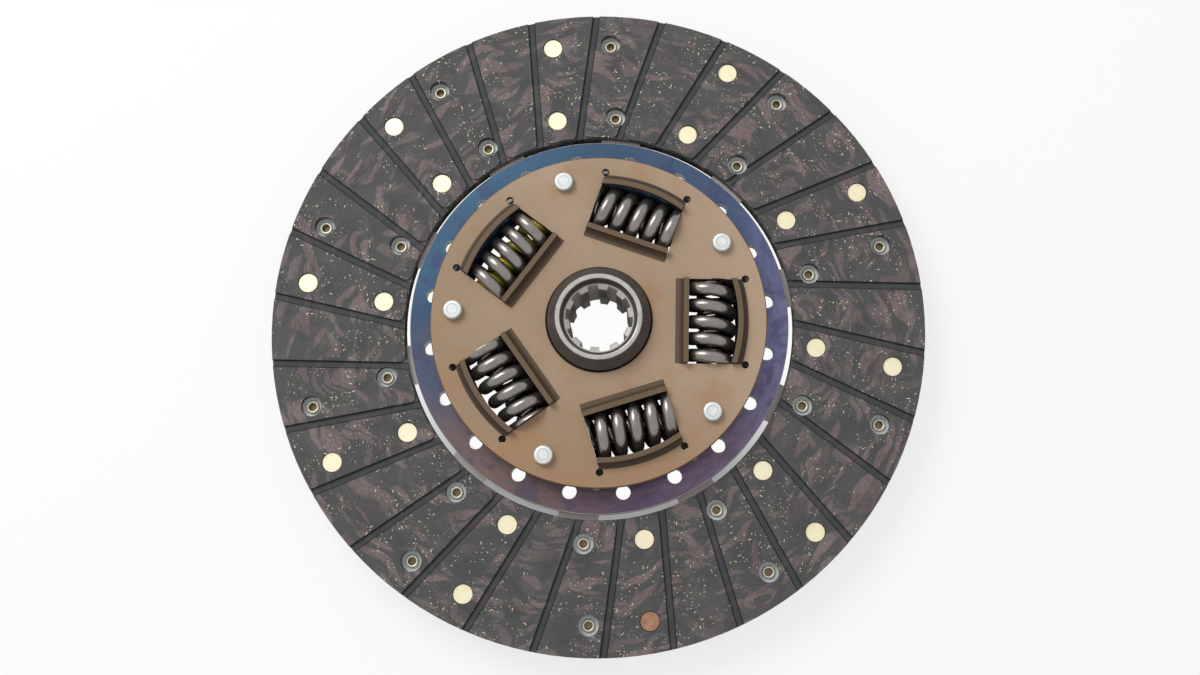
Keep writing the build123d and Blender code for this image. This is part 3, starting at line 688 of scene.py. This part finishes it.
def coil_tree():
    """Geometry nodes for one coil spring along Y, evenly wound, with its ends ground flat."""
    tree = bpy.data.node_groups.new("coil_spring", "GeometryNodeTree")
    sizes = {"Coil Radius": 10.0, "Wire Radius": 2.0, "Pitch": 7.0, "Handed": 1.0}
    sizes.update({"Length": SPRING_LENGTH_MM, "Turned": 0.0})
    counts = {"Steps a Turn": 60, "Wire Sides": 24}
    for inputs, kind in ((sizes, "NodeSocketFloat"), (counts, "NodeSocketInt")):
        for name, value in inputs.items():
            tree.interface.new_socket(name, in_out="INPUT", socket_type=kind).default_value = value
    tree.interface.new_socket("Finish", in_out="INPUT", socket_type="NodeSocketMaterial")
    tree.interface.new_socket("Geometry", in_out="OUTPUT", socket_type="NodeSocketGeometry")
    g = Graph(tree)
    given = g.node("NodeGroupInput").outputs
    result = g.node("NodeGroupOutput").inputs
    reach = g.math("MULTIPLY_ADD", given["Length"], 0.5, g.product(given["Wire Radius"], 2.0))
    half_turns = g.math("CEIL", g.math("DIVIDE", reach, given["Pitch"]))
    steps = given["Steps a Turn"]
    count = g.math("ADD", g.product(half_turns, 2.0, steps), 1.0)
    line = g.node("GeometryNodeMeshLine", {"Count": count}, mode="OFFSET")
    index = g.node("GeometryNodeInputIndex").outputs[0]
    turn = g.math("SUBTRACT", g.math("DIVIDE", index, steps), half_turns)
    angle = g.math("ADD", g.product(turn, math.tau, given["Handed"]), g.math("RADIANS", given["Turned"]))
    middle = g.math("SUBTRACT", given["Coil Radius"], given["Wire Radius"])
    x = g.product(middle, g.math("COSINE", angle))
    z = g.product(middle, g.product(g.math("SINE", angle), -1.0))
    helix = g.combine(x, g.product(turn, given["Pitch"]), z)
    placed = g.node("GeometryNodeSetPosition", {"Geometry": line.outputs[0], "Position": helix})
    path = g.node("GeometryNodeMeshToCurve", {0: placed.outputs[0]})
    round_wire = {"Resolution": given["Wire Sides"], "Radius": given["Wire Radius"]}
    section = g.node("GeometryNodeCurvePrimitiveCircle", round_wire, mode="RADIUS")
    swept = {"Curve": path.outputs[0], "Profile Curve": section.outputs[0], "Fill Caps": True}
    tube = g.node("GeometryNodeCurveToMesh", swept)

    # Both ends ground flat by a block as long as the coil
    width = g.product(given["Coil Radius"], 4.0)
    block = g.node("GeometryNodeMeshCube", {"Size": g.combine(width, given["Length"], width)})
    ground = g.node("GeometryNodeMeshBoolean", operation="INTERSECT", solver="EXACT")
    g.feed(ground.inputs["Mesh 2"], tube.outputs[0])
    g.feed(ground.inputs["Mesh 2"], block.outputs[0])
    smooth = g.node("GeometryNodeSetShadeSmooth", {"Geometry": ground.outputs[0], "Shade Smooth": True})
    fold = g.node("GeometryNodeInputMeshEdgeAngle").outputs[0]
    edges = {"Selection": g.math("GREATER_THAN", fold, SHARP_FOLD), "Shade Smooth": False}
    sharp = g.node("GeometryNodeSetShadeSmooth", {"Geometry": smooth.outputs[0], **edges}, domain="EDGE")
    sized = g.node("GeometryNodeTransform", {"Geometry": sharp.outputs[0], "Scale": (MM, MM, MM)})
    real = g.node("GeometryNodeRealizeInstances", {0: sized.outputs[0]})
    dressed = g.node("GeometryNodeSetMaterial", {"Geometry": real.outputs[0], "Material": given["Finish"]})
    g.feed(result[0], dressed.outputs[0])
    return tree


def from_tree(name, tree, inputs, place):
    """Plain mesh object made by a geometry node tree with these inputs, its points moved to place."""
    blank = bpy.data.meshes.new(name + "_blank")
    maker = bpy.data.objects.new(name + "_maker", blank)
    bpy.context.scene.collection.objects.link(maker)
    modifier = maker.modifiers.new("maker", "NODES")
    modifier.node_group = tree
    for item in tree.interface.items_tree:
        if item.item_type == "SOCKET" and item.in_out == "INPUT" and item.name in inputs:
            modifier[item.identifier] = inputs[item.name]
    bpy.context.view_layer.update()
    evaluated = maker.evaluated_get(bpy.context.evaluated_depsgraph_get())
    made = bpy.data.meshes.new_from_object(evaluated)
    maker.modifiers.clear()
    bpy.data.objects.remove(maker)
    made.name = name
    made.transform(place)
    piece = bpy.data.objects.new(name, made)
    bpy.context.scene.collection.objects.link(piece)
    return piece


COIL = coil_tree()
SPRING_Z = (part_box("outer_spring_1")[0].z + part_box("outer_spring_1")[1].z) / 2
for window in range(WINDOW_COUNT):
    turned = Matrix.Rotation(window * WINDOW_STEP, 4, "Z")
    place = turned @ Matrix.Translation((SPRING_CIRCLE_MM * MM, 0.0, SPRING_Z))
    for kind, sizes in (("outer", OUTER_COIL), ("inner", INNER_COIL)):
        painted = kind == "inner" and window + 1 == PAINTED_WINDOW
        finish = "coil_paint" if painted else "coil_steel"
        inputs = dict(sizes, Length=SPRING_LENGTH_MM, Turned=SPRING_TURNS[window], Finish=FINISHES[finish])
        spring = from_tree(f"{kind}_coil_{window + 1}", COIL, inputs, place)
        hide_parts(f"{kind}_spring_{window + 1}")
        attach(spring, "disc")
        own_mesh(spring)


def floor_piece():
    """Pale floor that shows white to the camera, keeps part of the disc's shadow beside it and in its gap,
    glows near white under the disc as painted light over that shadow, and is clear from below.
    """
    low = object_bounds()[0].z
    corners = [(FLOOR_HALF * x, FLOOR_HALF * y, low) for x, y in ((-1, -1), (1, -1), (1, 1), (-1, 1))]
    mesh = bpy.data.meshes.new("floor")
    mesh.from_pydata(corners, [], [(0, 1, 2, 3)])
    floor = bpy.data.objects.new("floor", mesh)
    bpy.context.scene.collection.objects.link(floor)
    material = bpy.data.materials.new("floor_white")
    material.use_nodes = True
    tree = material.node_tree
    tree.nodes.clear()
    g = Graph(tree)
    matte = g.node("ShaderNodeBsdfDiffuse", {"Color": WHITE})
    glow = g.node("ShaderNodeEmission", {"Color": WHITE, "Strength": 1.0})
    rays = g.node("ShaderNodeLightPath").outputs
    coordinates = g.node("ShaderNodeTexCoord").outputs["Object"]
    spot = g.group(PLACE, {"Object": coordinates}).outputs
    _, y, _ = g.separate(spot["Place"])
    gap = g.fade(y, *GAP_FADE_MM, GAP_SHARE, HOLE_PAINTED_LIGHT_SHARE)
    # Under the disc the floor glows almost white: painted light over the disc's shadow.
    inside = g.mix_value(g.fade(spot["Radius"], *GAP_START_MM), HOLE_PAINTED_LIGHT_SHARE, gap)
    share = g.mix_value(g.fade(spot["Radius"], *GAP_END_MM), inside, BESIDE_SHARE)
    seen = g.product(rays["Is Camera Ray"], share)
    both = g.node("ShaderNodeMixShader", {0: seen, 1: matte.outputs[0], 2: glow.outputs[0]})
    clear = g.node("ShaderNodeBsdfTransparent")
    below = g.node("ShaderNodeNewGeometry").outputs["Backfacing"]
    sided = g.node("ShaderNodeMixShader", {0: below, 1: both.outputs[0], 2: clear.outputs[0]})
    g.node("ShaderNodeOutputMaterial", {0: sided.outputs[0]})
    mesh.materials.append(material)


def studio():
    """Even white surroundings and one large soft lamp from the upper left."""
    world = bpy.data.worlds.new("studio")
    world.use_nodes = True
    tree = world.node_tree
    tree.nodes.clear()
    g = Graph(tree)
    rays = g.node("ShaderNodeLightPath").outputs
    shine = g.product(rays["Is Glossy Ray"], SHINE_STRENGTH)
    backdrop = g.product(rays["Is Camera Ray"], BACKDROP_STRENGTH)
    strength = g.math("ADD", g.math("ADD", SKY_STRENGTH, shine), backdrop)
    sky = g.node("ShaderNodeBackground", {"Color": WHITE, "Strength": strength})
    g.node("ShaderNodeOutputWorld", {0: sky.outputs[0]})
    bpy.context.scene.world = world
    lamp = bpy.data.lights.new("softbox", "AREA")
    lamp.shape = "RECTANGLE"
    lamp.size, lamp.size_y = LAMP_SIZE
    lamp.energy = LAMP_POWER
    holder = bpy.data.objects.new("softbox", lamp)
    bpy.context.scene.collection.objects.link(holder)
    holder.location = LAMP_PLACE
    holder.rotation_mode = "QUATERNION"
    holder.rotation_quaternion = (-Vector(LAMP_PLACE)).to_track_quat("-Z", "Y")


def camera():
    """Camera above the disc, at the picture's angle."""
    lens = bpy.data.cameras.new("camera")
    lens.sensor_width = SENSOR_MM
    lens.lens = FOCAL_PX / PICTURE_W * SENSOR_MM
    lens.shift_x = (PICTURE_W / 2 - CENTRE_PX[0]) / PICTURE_W
    lens.shift_y = (CENTRE_PX[1] - PICTURE_H / 2) / PICTURE_W
    lens.clip_start = NEAR_CLIP
    seen = bpy.data.objects.new("camera", lens)
    bpy.context.scene.collection.objects.link(seen)
    turn = Matrix.Rotation(math.radians(CAMERA_ROLL), 4, "Z")
    turn = turn @ Matrix.Rotation(math.radians(CAMERA_YAW), 4, "Y")
    turn = turn @ Matrix.Rotation(math.radians(CAMERA_TILT), 4, "X")
    turn = turn @ Matrix.Rotation(math.radians(PART_TURN), 4, "Z")
    back = turn.inverted()
    away = back @ (Vector(CAMERA_SHIFT_MM) * -MM)
    seen.matrix_world = Matrix.Translation(away + Vector((0.0, 0.0, PART_RISE_MM * MM))) @ back
    bpy.context.scene.camera = seen


floor_piece()
studio()
camera()
bpy.context.scene.view_settings.view_transform = "Standard"
